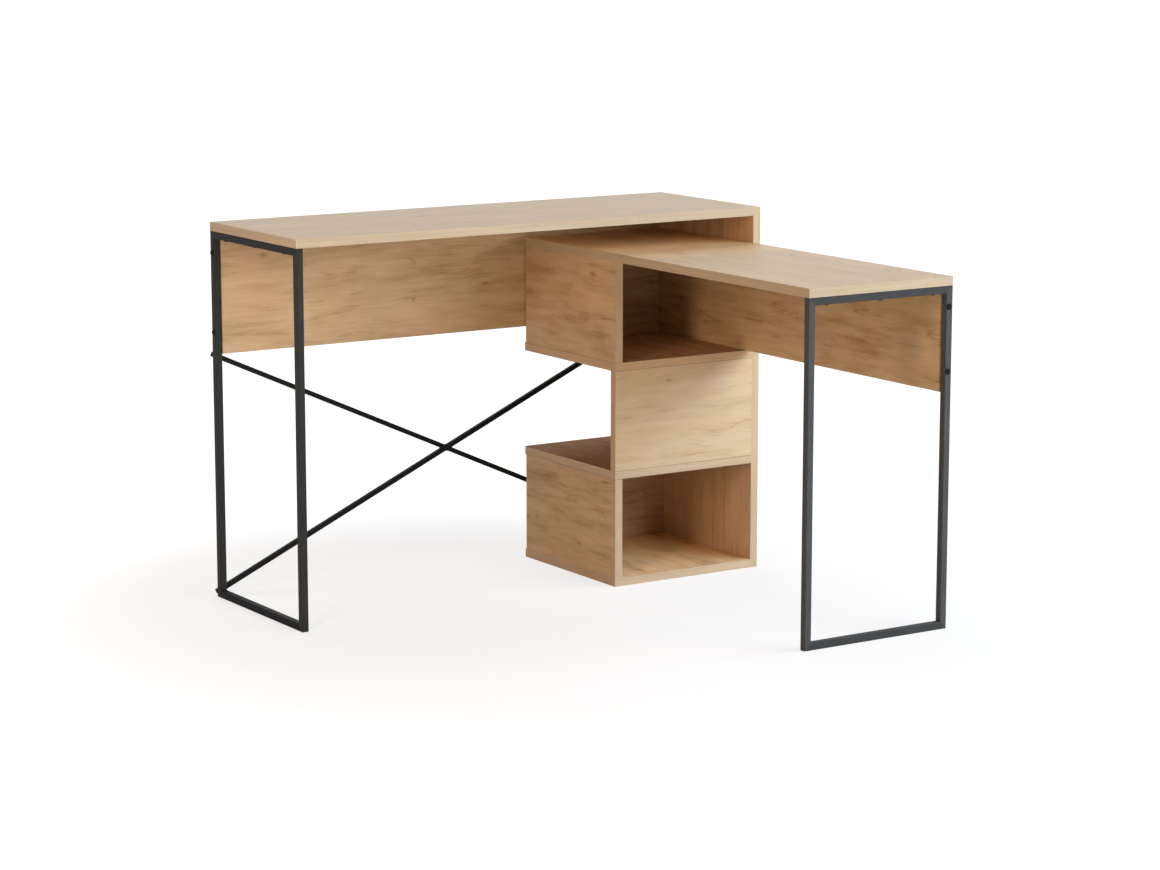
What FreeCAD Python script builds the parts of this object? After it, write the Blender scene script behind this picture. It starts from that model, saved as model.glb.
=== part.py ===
import FreeCAD, Part
import os
from math import atan2, degrees, hypot

from FreeCAD import Placement, Rotation, Vector

# Corner desk in millimetres.
#
# A long desktop runs along +X.  A lower desktop leaves it at a right angle, towards -Y, near its right
# end, and passes under it.  A shelf tower and a full-height side panel carry both at that corner.  A
# welded tube frame stands under the free end of each desktop, a modesty panel stiffens each desktop,
# and a crossed brace of thin square tube ties the left frame to the side panel.
#
# Working axes: X = 0 is the outer face of the left frame, Y = 0 the front edge of the long desktop and
# Z = 0 the floor.  Every piece is moved at export, so that the file's origin is the bottom centre of the
# whole desk's box.

# ---------------------------------------------------------------------------------- driving sizes
DESK_LENGTH = 1100.0        # long desktop, along X
DESK_DEPTH = 371.0          # long desktop, along Y
LOWER_WIDTH = 347.0         # lower desktop and front frame, along X
LOWER_REACH = 657.0         # how far the lower desktop stands out in front of the long one
BAY_HEIGHT = 209.0          # clear height of each of the tower's three bays
SLOT_HEIGHT = 57.0          # clear height between the lower desktop and the long one
BOARD = 18.0                # thickness of every board, edge band included
EDGE_BAND = 1.0             # thickness of the glued edge band
ARRIS = 0.5                 # rounding of a band's outer edges
MODESTY_HEIGHT = 250.0      # modesty panel under the long desktop
LEFT_PANEL_GAP = 4.0        # the tower's left panels stop this short of the shelves' rear edges
BACK_PANEL_INSET = 7.0      # rear face of the tower's back panels, in from the shelves' rear edges

TUBE = 15.0                 # square tube of the frames
TUBE_WALL = 1.2
TUBE_CORNER = 1.5           # outer corner radius of that tube
BRACE_TUBE = 10.0           # square tube of the brace
BRACE_WALL = 1.0
BRACE_CORNER = 1.0
BRACE_LOW = 12.0            # height of the brace's lower screws
BRACE_DROP = 5.0            # the brace's upper screws lie this far under the long modesty panel
BRACE_END = 7.0             # from a brace screw to that end of the bar, plug included
PLUG_FLANGE = 1.0           # end plug of the brace
PLUG_DEPTH = 3.0

# ---------------------------------------------------------------------------------- fittings
DOWEL_DIAMETER = 8.0
DOWEL_LENGTH = 30.0
DOWEL_IN_FACE = 10.0        # the part of a dowel that sits in the face of a board
DOWEL_CHAMFER = 1.0
CAM_DIAMETER = 15.0
CAM_BEYOND_BOLT = 4.3       # the cam's depth past the bolt's axis, which is mid-board
CAM_DISTANCE = 34.0         # from the joint to the centre of the cam
CAM_POCKET_DIAMETER = 7.6   # room in the cam for the head of its bolt
CAM_SLOT_LENGTH = 8.0       # cross slot for the screwdriver
CAM_SLOT_WIDTH = 1.5
CAM_SLOT_DEPTH = 2.0
BOLT_THREAD_DIAMETER = 6.0
BOLT_THREAD_LENGTH = 10.5
BOLT_COLLAR_DIAMETER = 7.0
BOLT_COLLAR_LENGTH = 1.5
BOLT_SHAFT_DIAMETER = 5.0
BOLT_NECK_DIAMETER = 3.6
BOLT_NECK_LENGTH = 3.0
BOLT_HEAD_DIAMETER = 7.0
BOLT_HEAD_LENGTH = 2.5
BOLT_BORE_DIAMETER = 8.0    # bore in the board's edge that the bolt passes through
THREAD_PITCH = 1.6
THREAD_RIDGE = 0.35         # how far a thread's ridge stands out of its core
LEAST_INNER_CORNER = 0.25   # inner corner radius of a tube, where its wall takes up the outer one

# "rim" is the straight part of a screw's head, under its dome.
RAIL_SCREW = {"shank": 4.0, "bite": 13.0, "head": 12.0, "head_height": 2.6, "rim": 0.6}
PANEL_SCREW = {"shank": 6.0, "bite": 35.0, "head": 12.0, "head_height": 4.0, "rim": 1.8}
BRACE_SCREW = {"shank": 4.2, "bite": 12.0, "head": 8.0, "head_height": 2.4, "rim": 0.6}
RECESS_SHARE = 0.5          # length of the cross recess, as a share of the head's diameter
RECESS_WIDTH = 1.2
RECESS_DEPTH = 1.3
TIP_LENGTH = 3.0            # pointed end of a screw

FITTING_INSET = 60.0        # from the end of a joint to its first cam
FITTING_STEP = 32.0         # from that cam to the dowel beside it
BACK_DOWEL_SPACING = 60.0   # between the dowels in the top and bottom of a back panel
RAIL_SCREW_INSET_LEFT = 60.0
RAIL_SCREW_INSET_FRONT = 45.0
PANEL_SCREW_INSET_LEFT = 44.0
PANEL_SCREW_INSET_FRONT = 41.0

# ---------------------------------------------------------------------------------- clearances
BORE_CLEARANCE = 0.1        # between a fitting and the wall of its bore
BORE_END_CLEARANCE = 0.5    # between the end of a fitting and the bottom of its bore
PLUG_CLEARANCE = 0.1        # between an end plug and the inside of its tube
OVERRUN = 1.0               # how far a cutting tool runs past the face that it opens
SAME_PLACE = 1e-6           # two measures nearer than this are the same

# ---------------------------------------------------------------------------------- worked-out places
DIRECTIONS = {
    "left": Vector(-1, 0, 0), "right": Vector(1, 0, 0),
    "front": Vector(0, -1, 0), "rear": Vector(0, 1, 0),
    "bottom": Vector(0, 0, -1), "top": Vector(0, 0, 1),
}
LEFT, RIGHT, FRONT, REAR, DOWN, UP = DIRECTIONS.values()

HALF_BOARD = BOARD / 2
CAM_DEPTH = HALF_BOARD + CAM_BEYOND_BOLT
SHELF_PITCH = BOARD + BAY_HEIGHT
LOWER_SHELF_Z = SHELF_PITCH
UPPER_SHELF_Z = 2 * SHELF_PITCH
LOWER_DESK_Z = 3 * SHELF_PITCH                      # underside of the lower desktop
DESK_Z = LOWER_DESK_Z + BOARD + SLOT_HEIGHT         # underside of the long desktop
SIDE_X = DESK_LENGTH - BOARD                        # inner face of the side panel
TOWER_X = SIDE_X - LOWER_WIDTH                      # outer face of the tower
MODESTY_Y = DESK_DEPTH - BOARD                      # front face of the long modesty panel
BACK_PANEL_Y = MODESTY_Y - BACK_PANEL_INSET - BOARD
LEFT_PANEL_Y = MODESTY_Y - LEFT_PANEL_GAP           # rear edge of the tower's left panels
FRONT_FRAME_Y = -LOWER_REACH
LOWER_MODESTY_X = SIDE_X - BOARD
LOWER_MODESTY_Y = FRONT_FRAME_Y + TUBE              # front end of the lower modesty panel
MODESTY_Z = DESK_Z - MODESTY_HEIGHT                 # lower edge of the long modesty panel
BRACE_HIGH = MODESTY_Z - BRACE_DROP                 # height of the brace's upper screws
BRACE_LEFT_X = TUBE / 2                             # middle of the left frame's rear leg
BRACE_RIGHT_X = DESK_LENGTH - HALF_BOARD            # middle of the side panel's rear edge

X_RANGE = (-PANEL_SCREW["head_height"], DESK_LENGTH)
Y_RANGE = (FRONT_FRAME_Y - PANEL_SCREW["head_height"],
           DESK_DEPTH + BRACE_TUBE + BRACE_SCREW["head_height"])
TO_ORIGIN = Vector(-sum(X_RANGE) / 2, -sum(Y_RANGE) / 2, 0)

os.makedirs("parts", exist_ok=True)


def export(name, solids):
    """Write one node: its solids, moved so that the origin is the desk's bottom centre."""
    shape = Part.makeCompound(solids) if len(solids) > 1 else solids[0].copy()
    shape.translate(TO_ORIGIN)
    shape.exportStep("parts/" + name + ".step")


# ---------------------------------------------------------------------------------- basic shapes
def block(low, high):
    """A box between two opposite corners."""
    size = high - low
    return Part.makeBox(size.x, size.y, size.z, low)


def rod(diameter, length, base, direction):
    """A plain round rod."""
    return Part.makeCylinder(diameter / 2, length, base, direction)


def place(solid, base, direction):
    """Stand a solid made about +Z on a base point, along a direction."""
    solid.Placement = Placement(base, Rotation(UP, direction))
    return solid


def turned(outline):
    """Solid of revolution about +Z from (radius, height) points, which start and end on the axis."""
    points = [Vector(radius, 0, height) for radius, height in outline]
    wire = Part.makePolygon(points + points[:1])
    return Part.Face(wire).revolve(Vector(0, 0, 0), UP, 360)


def cross(length, width, low, high):
    """Two crossed bars about +Z, for a screwdriver's recess."""
    bars = [block(Vector(-a / 2, -b / 2, low), Vector(a / 2, b / 2, high))
            for a, b in ((length, width), (width, length))]
    return bars[0].fuse(bars[1])


def ridges(diameter, start, end):
    """Outline points of a thread between two heights, core and crest in turn."""
    count = int(abs(end - start) / THREAD_PITCH)
    step = (end - start) / count
    core = diameter / 2 - THREAD_RIDGE
    outline = []
    for turn in range(count):
        outline.append((core, start + turn * step))
        outline.append((diameter / 2, start + (turn + 0.5) * step))
    outline.append((core, end))
    return outline


# ---------------------------------------------------------------------------------- boards and bands
class Board:
    """A laminated board: a core, glued edge bands, and the bores that its fittings need."""

    def __init__(self, name, low, high, banded=()):
        self.name = name
        self.low = Vector(*low)
        self.high = Vector(*high)
        self.banded = banded
        self.bores = []

    def middle(self):
        return (self.low + self.high) / 2

    def thin_axis(self):
        size = self.high - self.low
        return min(range(3), key=lambda axis: size[axis])

    def sides_of(self, edge):
        """The two sides of the box that an edge lies on."""
        touching = []
        for side, direction in DIRECTIONS.items():
            corner = self.high if sum(direction) > 0 else self.low
            if abs((edge.CenterOfMass - corner).dot(direction)) < SAME_PLACE:
                touching.append(side)
        return touching

    def is_eased(self, edge):
        """Bands are rounded along their outer edges, but not where a band ends at a plain side."""
        sides = self.sides_of(edge)
        plain = [side for side in sides if side not in self.banded]
        broad = [side for side in plain if abs(DIRECTIONS[side][self.thin_axis()]) == 1]
        return len(plain) < 2 and plain == broad

    def strip_and_rest(self, side, low, high):
        """Split the box between low and high into the band on one side and what is left."""
        direction = DIRECTIONS[side]
        axis = max(range(3), key=lambda index: abs(direction[index]))
        strip_low, strip_high, rest_low, rest_high = Vector(low), Vector(high), Vector(low), Vector(high)
        if direction[axis] > 0:
            strip_low[axis] = rest_high[axis] = high[axis] - EDGE_BAND
        else:
            strip_high[axis] = rest_low[axis] = low[axis] + EDGE_BAND
        return block(strip_low, strip_high), rest_low, rest_high

    def build(self):
        """Return the core and the list of band strips, all bored."""
        whole = block(self.low, self.high)
        eased = [edge for edge in whole.Edges if self.is_eased(edge)]
        if eased:
            whole = whole.makeFillet(ARRIS, eased)
        strips = []
        low, high = self.low, self.high
        for side in self.banded:
            strip, low, high = self.strip_and_rest(side, low, high)
            strips.append(whole.common(strip))
        core = whole.common(block(low, high))
        return self.bored(core), [self.bored(strip) for strip in strips]

    def bored(self, shape):
        reach = shape.BoundBox
        tools = [bore for bore in self.bores if reach.intersect(bore.BoundBox)]
        if not tools:
            return shape.Solids[0]
        return shape.cut(Part.makeCompound(tools)).Solids[0]


TOWER_LOW = (TOWER_X, 0)
TOWER_HIGH = (SIDE_X, MODESTY_Y)


def shelf(name, z):
    return Board(name, TOWER_LOW + (z,), TOWER_HIGH + (z + BOARD,), ("front", "rear", "left"))


def left_panel(name, z):
    return Board(name, (TOWER_X, 0, z), (TOWER_X + BOARD, LEFT_PANEL_Y, z + BAY_HEIGHT), ("front", "rear"))


def back_panel(name, z):
    return Board(name, (TOWER_X + BOARD, BACK_PANEL_Y, z), (SIDE_X, BACK_PANEL_Y + BOARD, z + BAY_HEIGHT))


main_desktop = Board(
    "main_desktop", (0, 0, DESK_Z), (DESK_LENGTH, DESK_DEPTH, DESK_Z + BOARD),
    ("front", "rear", "left", "right"))
lower_desktop = Board(
    "lower_desktop", (TOWER_X, FRONT_FRAME_Y, LOWER_DESK_Z), (SIDE_X, MODESTY_Y, LOWER_DESK_Z + BOARD),
    ("front", "left", "right"))
side_panel = Board("right_side_panel", (SIDE_X, 0, 0), (DESK_LENGTH, DESK_DEPTH, DESK_Z), ("front", "rear"))
main_modesty = Board(
    "main_modesty_panel", (TUBE, MODESTY_Y, MODESTY_Z), (SIDE_X, DESK_DEPTH, DESK_Z),
    ("bottom",))
lower_modesty = Board(
    "lower_modesty_panel", (LOWER_MODESTY_X, LOWER_MODESTY_Y, UPPER_SHELF_Z + BOARD),
    (SIDE_X, BACK_PANEL_Y, LOWER_DESK_Z), ("bottom",))
bottom_board = shelf("tower_bottom_board", 0)
lower_shelf = shelf("tower_lower_shelf", LOWER_SHELF_Z)
upper_shelf = shelf("tower_upper_shelf", UPPER_SHELF_Z)
lower_left = left_panel("lower_box_left_panel", BOARD)
upper_left = left_panel("upper_box_left_panel", UPPER_SHELF_Z + BOARD)
lower_back = back_panel("lower_box_back_panel", BOARD)
upper_back = back_panel("upper_box_back_panel", UPPER_SHELF_Z + BOARD)
middle_front = Board(
    "middle_front_panel", (TOWER_X, 0, LOWER_SHELF_Z + BOARD), (SIDE_X, BOARD, UPPER_SHELF_Z), ("left",))

BOARDS = [main_desktop, lower_desktop, side_panel, main_modesty, lower_modesty, bottom_board, lower_shelf,
          upper_shelf, lower_left, upper_left, lower_back, upper_back, middle_front]


# ---------------------------------------------------------------------------------- dowels and cams
def make_dowel():
    radius = DOWEL_DIAMETER / 2
    tip = radius - DOWEL_CHAMFER
    return turned([(0, 0), (tip, 0), (radius, DOWEL_CHAMFER), (radius, DOWEL_LENGTH - DOWEL_CHAMFER),
                   (tip, DOWEL_LENGTH), (0, DOWEL_LENGTH)])


def make_cam_bolt():
    """Threaded end below the joint at z = 0, head above it at the cam."""
    head_end = CAM_DISTANCE + BOLT_HEAD_LENGTH / 2
    head_start = head_end - BOLT_HEAD_LENGTH
    neck_start = head_start - BOLT_NECK_LENGTH
    shaft, neck = BOLT_SHAFT_DIAMETER / 2, BOLT_NECK_DIAMETER / 2
    collar, head = BOLT_COLLAR_DIAMETER / 2, BOLT_HEAD_DIAMETER / 2
    thread = ridges(BOLT_THREAD_DIAMETER, -BOLT_THREAD_LENGTH, 0)
    return turned([(0, -BOLT_THREAD_LENGTH)] + thread + [
        (collar, 0), (collar, BOLT_COLLAR_LENGTH), (shaft, BOLT_COLLAR_LENGTH), (shaft, neck_start),
        (neck, neck_start), (neck, head_start), (head, head_start), (head, head_end), (0, head_end)])


def make_cam():
    """Cam lock about +Z, its slotted face at z = 0 and the pocket for its bolt opening towards +X."""
    body = rod(CAM_DIAMETER - 2 * BORE_CLEARANCE, CAM_DEPTH, Vector(0, 0, -CAM_DEPTH), UP)
    pocket_start = Vector(-BOLT_HEAD_LENGTH, 0, -HALF_BOARD)
    pocket = rod(CAM_POCKET_DIAMETER, CAM_DIAMETER, pocket_start, RIGHT)
    slot = cross(CAM_SLOT_LENGTH, CAM_SLOT_WIDTH, -CAM_SLOT_DEPTH, OVERRUN)
    return body.cut(pocket).cut(slot)


DOWEL = make_dowel()
CAM_BOLT = make_cam_bolt()
CAM = make_cam()
fittings = {}


def add_fitting(kind, group, solid):
    fittings.setdefault(group + "_" + kind, []).append(solid)


def dowel_joint(group, face_board, edge_board, points, inwards):
    """Dowels across a joint.  inwards points from the joint into the board that meets it edge-on."""
    for point in points:
        start = point - inwards * DOWEL_IN_FACE
        add_fitting("dowels", group, place(DOWEL.copy(), start, inwards))
        bore = rod(DOWEL_DIAMETER + 2 * BORE_CLEARANCE, DOWEL_LENGTH + 2 * BORE_END_CLEARANCE,
                   start - inwards * BORE_END_CLEARANCE, inwards)
        face_board.bores.append(bore)
        edge_board.bores.append(bore)


def cam_joint(group, face_board, edge_board, points, inwards, cam_side):
    """Cam locks across a joint.  cam_side points to the face that the cams are let into."""
    for point in points:
        add_fitting("cam_bolts", group, place(CAM_BOLT.copy(), point, inwards))
        face_board.bores.append(rod(BOLT_THREAD_DIAMETER + 2 * BORE_CLEARANCE,
                                    BOLT_THREAD_LENGTH + BORE_END_CLEARANCE, point, inwards * -1))
        edge_board.bores.append(rod(BOLT_BORE_DIAMETER, CAM_DISTANCE, point, inwards))

        cam_face = point + inwards * CAM_DISTANCE + cam_side * HALF_BOARD
        turn = Rotation(inwards * -1, cam_side.cross(inwards * -1), cam_side, "ZXY")
        cam = CAM.copy()
        cam.Placement = Placement(cam_face, turn)
        add_fitting("cam_locks", group, cam)
        edge_board.bores.append(rod(CAM_DIAMETER, CAM_DEPTH + BORE_END_CLEARANCE, cam_face, cam_side * -1))


def cams_and_dowels(group, face_board, edge_board, ends, inwards, cam_side):
    """The usual joint: a cam near each end and a dowel beside each cam, between two end points."""
    start, end = ends
    along = (end - start).normalize()
    cams = [start + along * FITTING_INSET, end - along * FITTING_INSET]
    dowels = [cams[0] + along * FITTING_STEP, cams[1] - along * FITTING_STEP]
    cam_joint(group, face_board, edge_board, cams, inwards, cam_side)
    dowel_joint(group, face_board, edge_board, dowels, inwards)


def along_depth(x, z, rear):
    return Vector(x, 0, z), Vector(x, rear, z)


def join_shelves_to_side():
    """Every level of the tower meets the side panel edge-on, with its cams on the underside."""
    for board, group in ((bottom_board, "tower"), (lower_shelf, "tower"), (upper_shelf, "tower"),
                         (lower_desktop, "desktop")):
        ends = along_depth(SIDE_X, board.middle().z, LEFT_PANEL_Y)
        cams_and_dowels(group, side_panel, board, ends, LEFT, DOWN)


def pair_about(centre, direction, offset):
    """Two points, one each side of a centre."""
    return [centre - direction * offset, centre + direction * offset]


def join_box(left, back, floor, roof):
    """One box of the tower: its left and back panels stand between two levels."""
    middle = back.middle()
    for level, z, inwards in ((floor, left.low.z, UP), (roof, left.high.z, DOWN)):
        ends = along_depth(left.middle().x, z, LEFT_PANEL_Y)
        cams_and_dowels("tower", level, left, ends, inwards, RIGHT)
        points = pair_about(Vector(middle.x, middle.y, z), RIGHT, BACK_DOWEL_SPACING / 2)
        dowel_joint("tower", level, back, points, inwards)
    cam_joint("tower", left, back, [Vector(back.low.x, middle.y, middle.z)], RIGHT, REAR)
    cam_joint("tower", side_panel, back, [Vector(SIDE_X, middle.y, middle.z)], LEFT, REAR)


def join_middle_front():
    """The front panel of the open middle bay: cams below, dowels above, one cam into the side panel."""
    middle = middle_front.middle()
    low_z, high_z = middle_front.low.z, middle_front.high.z
    low_ends = (Vector(TOWER_X, middle.y, low_z), Vector(SIDE_X, middle.y, low_z))
    cams_and_dowels("tower", lower_shelf, middle_front, low_ends, UP, REAR)
    points = pair_about(Vector(middle.x, middle.y, high_z), RIGHT, BACK_DOWEL_SPACING)
    dowel_joint("tower", upper_shelf, middle_front, points, DOWN)
    cam_joint("tower", side_panel, middle_front, [Vector(SIDE_X, middle.y, middle.z)], LEFT, REAR)


def join_main_desktop():
    """Side panel and long modesty panel under the long desktop."""
    x = side_panel.middle().x
    cams_and_dowels("desktop", main_desktop, side_panel, along_depth(x, DESK_Z, MODESTY_Y), DOWN, RIGHT)
    y = main_modesty.middle().y
    ends = (Vector(TUBE, y, DESK_Z), Vector(SIDE_X, y, DESK_Z))
    cams_and_dowels("desktop", main_desktop, main_modesty, ends, DOWN, REAR)
    cam_joint("desktop", main_desktop, main_modesty, [(ends[0] + ends[1]) / 2], DOWN, REAR)
    z_low, z_high = main_modesty.low.z, main_modesty.high.z
    cams = [Vector(SIDE_X, y, z_low + FITTING_INSET), Vector(SIDE_X, y, z_high - FITTING_INSET)]
    cam_joint("desktop", side_panel, main_modesty, cams, LEFT, REAR)
    dowel_joint("desktop", side_panel, main_modesty, [(cams[0] + cams[1]) / 2], LEFT)


def join_lower_desktop():
    """The lower desktop's rear edge meets the long modesty panel; its own modesty panel hangs below it."""
    z = lower_desktop.middle().z
    rear_ends = (Vector(TOWER_X, MODESTY_Y, z), Vector(SIDE_X, MODESTY_Y, z))
    cams_and_dowels("desktop", main_modesty, lower_desktop, rear_ends, FRONT, DOWN)

    x = lower_modesty.middle().x
    front_ends = (Vector(x, LOWER_MODESTY_Y, LOWER_DESK_Z), Vector(x, 0, LOWER_DESK_Z))
    cams_and_dowels("desktop", lower_desktop, lower_modesty, front_ends, DOWN, RIGHT)
    feet = pair_about(Vector(x, LEFT_PANEL_Y / 2, lower_modesty.low.z), REAR, FITTING_STEP)
    dowel_joint("desktop", upper_shelf, lower_modesty, feet, UP)
    rear_end = pair_about(Vector(x, BACK_PANEL_Y, lower_modesty.middle().z), UP, FITTING_STEP)
    dowel_joint("desktop", upper_back, lower_modesty, rear_end, FRONT)


join_shelves_to_side()
join_box(lower_left, lower_back, bottom_board, lower_shelf)
join_box(upper_left, upper_back, upper_shelf, lower_desktop)
join_middle_front()
join_main_desktop()
join_lower_desktop()


# ---------------------------------------------------------------------------------- tube frames
def square_tube(low, high, axis, wall, corner):
    """Hollow square tube between two corners, its long edges rounded."""
    direction = Vector(*[1 if index == axis else 0 for index in range(3)])
    across = Vector(1, 1, 1) - direction

    def rounded(box_low, box_high, radius):
        box = block(box_low, box_high)
        long_edges = [edge for edge in box.Edges
                      if edge.tangentAt(edge.FirstParameter).cross(direction).Length < SAME_PLACE]
        return box.makeFillet(radius, long_edges)

    inset, overrun = across * wall, direction * OVERRUN
    inner = rounded(low + inset - overrun, high - inset + overrun, max(corner - wall, LEAST_INNER_CORNER))
    return rounded(low, high, corner).cut(inner)


def mitred_frame(width, height):
    """Four mitred tubes in the local XZ plane, as a dictionary of foot rail, legs and top rail."""
    outer = [(0, 0), (width, 0), (width, height), (0, height)]
    inner = [(TUBE, TUBE), (width - TUBE, TUBE), (width - TUBE, height - TUBE), (TUBE, height - TUBE)]
    tubes = {
        "foot_rail": ((0, 0), (width, TUBE), 0),
        "far_leg": ((width - TUBE, 0), (width, height), 2),
        "top_rail": ((0, height - TUBE), (width, height), 0),
        "near_leg": ((0, 0), (TUBE, height), 2),
    }
    members = {}
    for index, (name, (low, high, axis)) in enumerate(tubes.items()):
        following = (index + 1) % 4
        ring = (outer[index], outer[following], inner[following], inner[index], outer[index])
        side = Part.makePolygon([Vector(x, 0, z) for x, z in ring])
        wedge = Part.Face(side).extrude(REAR * TUBE)
        tube = square_tube(Vector(low[0], 0, low[1]), Vector(high[0], TUBE, high[1]), axis, TUBE_WALL,
                           TUBE_CORNER)
        members[name] = tube.common(wedge)
    return members


def left_frame():
    """Under the left end of the long desktop, in the YZ plane: the far leg is the rear one."""
    turn = Placement(Vector(TUBE, 0, 0), Rotation(UP, 90))
    members = mitred_frame(DESK_DEPTH, DESK_Z)
    names = {"foot_rail": "foot_rail", "top_rail": "top_rail", "near_leg": "front_leg", "far_leg": "rear_leg"}
    for member in members.values():
        member.Placement = turn.multiply(member.Placement)
    return {"left_frame_" + names[key]: member for key, member in members.items()}


def front_frame():
    """Under the front end of the lower desktop, in the XZ plane."""
    members = mitred_frame(LOWER_WIDTH, LOWER_DESK_Z)
    names = {"foot_rail": "foot_rail", "top_rail": "top_rail", "near_leg": "left_leg", "far_leg": "right_leg"}
    for member in members.values():
        member.translate(Vector(TOWER_X, FRONT_FRAME_Y, 0))
    return {"front_frame_" + names[key]: member for key, member in members.items()}


# ---------------------------------------------------------------------------------- crossed brace
def brace():
    """One long bar, the other bar in two halves welded to its sides, and a plug in each open end."""
    run, rise = BRACE_RIGHT_X - BRACE_LEFT_X, BRACE_HIGH - BRACE_LOW
    radius = BRACE_TUBE / 2
    middle = Vector(BRACE_LEFT_X + run / 2, DESK_DEPTH + radius, BRACE_LOW + rise / 2)
    slope = degrees(atan2(rise, run))
    half = hypot(run, rise) / 2 + BRACE_END
    tube_half = half - PLUG_FLANGE

    def tilted(solid, angle):
        solid.Placement = Placement(middle, Rotation(FRONT, angle))
        return solid

    def bar(angle):
        low, high = Vector(-tube_half, -radius, -radius), Vector(tube_half, radius, radius)
        return tilted(square_tube(low, high, 0, BRACE_WALL, BRACE_CORNER), angle)

    def plug(side, angle):
        room = radius - BRACE_WALL - PLUG_CLEARANCE
        flange = block(Vector(tube_half, -radius, -radius), Vector(half, radius, radius))
        rim = [edge for edge in flange.Edges if edge.Length < PLUG_FLANGE + SAME_PLACE]
        flange = flange.makeFillet(BRACE_CORNER, rim)
        insert = block(Vector(tube_half - PLUG_DEPTH, -room, -room), Vector(tube_half, room, room))
        solid = flange.fuse(insert)
        if side < 0:
            solid = solid.mirror(Vector(0, 0, 0), RIGHT)
        return tilted(solid, angle)

    long_bar = bar(slope)
    notch = tilted(block(Vector(-half, -BRACE_TUBE, -radius), Vector(half, BRACE_TUBE, radius)), slope)
    halves = sorted(bar(-slope).cut(notch).Solids, key=lambda solid: solid.CenterOfMass.x)
    plugs = [plug(side, angle) for side in (-1, 1) for angle in (slope, -slope)]
    members = {"brace_long_bar": long_bar, "brace_upper_half_bar": halves[0],
               "brace_lower_half_bar": halves[1]}
    return members, plugs


# ---------------------------------------------------------------------------------- screws
def make_screw(kind, through):
    """Domed cross-head screw about +Z: its seat at z = 0, its head below and its tip above."""
    length = through + kind["bite"]
    radius, height = kind["head"] / 2, kind["head_height"]
    thread = ridges(kind["shank"], 0, length - TIP_LENGTH)
    body = turned([(0, 0)] + thread + [(0, length)])
    dome_height = height - kind["rim"]
    sphere_radius = (radius * radius + dome_height * dome_height) / (2 * dome_height)
    sphere = Part.makeSphere(sphere_radius, Vector(0, 0, sphere_radius - height))
    head = rod(kind["head"], height, Vector(0, 0, -height), UP).common(sphere)
    recess = cross(RECESS_SHARE * kind["head"], RECESS_WIDTH, -height - OVERRUN, -height + RECESS_DEPTH)
    return head.fuse(body).cut(recess)


def drive(kind, through, seats, direction, boards=(), tubes=()):
    """Screws through whatever they pass, each piece bored to suit.  Returns the screws."""
    pattern = make_screw(kind, through)
    screws = []
    for seat in seats:
        screws.append(place(pattern.copy(), seat, direction))
        bore = rod(kind["shank"] + 2 * BORE_CLEARANCE, through + kind["bite"] + BORE_END_CLEARANCE, seat,
                   direction)
        for board in boards:
            board.bores.append(bore)
        for name in tubes:
            metal[name] = metal[name].cut(bore)
    return screws


def spread(start, end, inset):
    """Three points along a line: one near each end and one in the middle."""
    along = (end - start).normalize()
    return [start + along * inset, (start + end) / 2, end - along * inset]


def along_height(board, inset):
    """Heights of a board's two end screws."""
    return board.low.z + inset, board.high.z - inset


brace_members, brace_plugs = brace()
metal = {**left_frame(), **front_frame(), **brace_members}

left_rail = [Vector(TUBE / 2, y, DESK_Z - TUBE) for y in (0, DESK_DEPTH)]
fittings["left_frame_rail_screws"] = drive(
    RAIL_SCREW, TUBE, spread(*left_rail, RAIL_SCREW_INSET_LEFT), UP, [main_desktop],
    ["left_frame_top_rail"])

front_rail = [Vector(x, FRONT_FRAME_Y + TUBE / 2, LOWER_DESK_Z - TUBE) for x in (TOWER_X, SIDE_X)]
fittings["front_frame_rail_screws"] = drive(
    RAIL_SCREW, TUBE, spread(*front_rail, RAIL_SCREW_INSET_FRONT), UP, [lower_desktop],
    ["front_frame_top_rail"])

left_seats = [Vector(0, main_modesty.middle().y, z)
              for z in along_height(main_modesty, PANEL_SCREW_INSET_LEFT)]
fittings["left_frame_panel_screws"] = drive(
    PANEL_SCREW, TUBE, left_seats, RIGHT, [main_modesty], ["left_frame_rear_leg"])

front_seats = [Vector(lower_modesty.middle().x, FRONT_FRAME_Y, z)
               for z in along_height(lower_modesty, PANEL_SCREW_INSET_FRONT)]
fittings["front_frame_panel_screws"] = drive(
    PANEL_SCREW, TUBE, front_seats, REAR, [lower_modesty], ["front_frame_right_leg"])

BRACE_SEATS = (
    (BRACE_LEFT_X, BRACE_LOW, (), ("brace_long_bar", "left_frame_rear_leg", "left_frame_foot_rail")),
    (BRACE_LEFT_X, BRACE_HIGH, (), ("brace_upper_half_bar", "left_frame_rear_leg")),
    (BRACE_RIGHT_X, BRACE_LOW, (side_panel,), ("brace_lower_half_bar",)),
    (BRACE_RIGHT_X, BRACE_HIGH, (side_panel,), ("brace_long_bar",)),
)
fittings["brace_screws"] = []
for x, z, boards, tubes in BRACE_SEATS:
    seat = Vector(x, DESK_DEPTH + BRACE_TUBE, z)
    fittings["brace_screws"] += drive(BRACE_SCREW, BRACE_TUBE, [seat], FRONT, boards, tubes)
fittings["brace_end_plugs"] = brace_plugs

# ---------------------------------------------------------------------------------- export
for board in BOARDS:
    board_core, bands = board.build()
    export(board.name, [board_core])
    if bands:
        export(board.name + "_edge_band", bands)
for node, member in metal.items():
    export(node, [member.Solids[0]])
for node, solids in fittings.items():
    export(node, solids)
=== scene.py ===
import math

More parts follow.
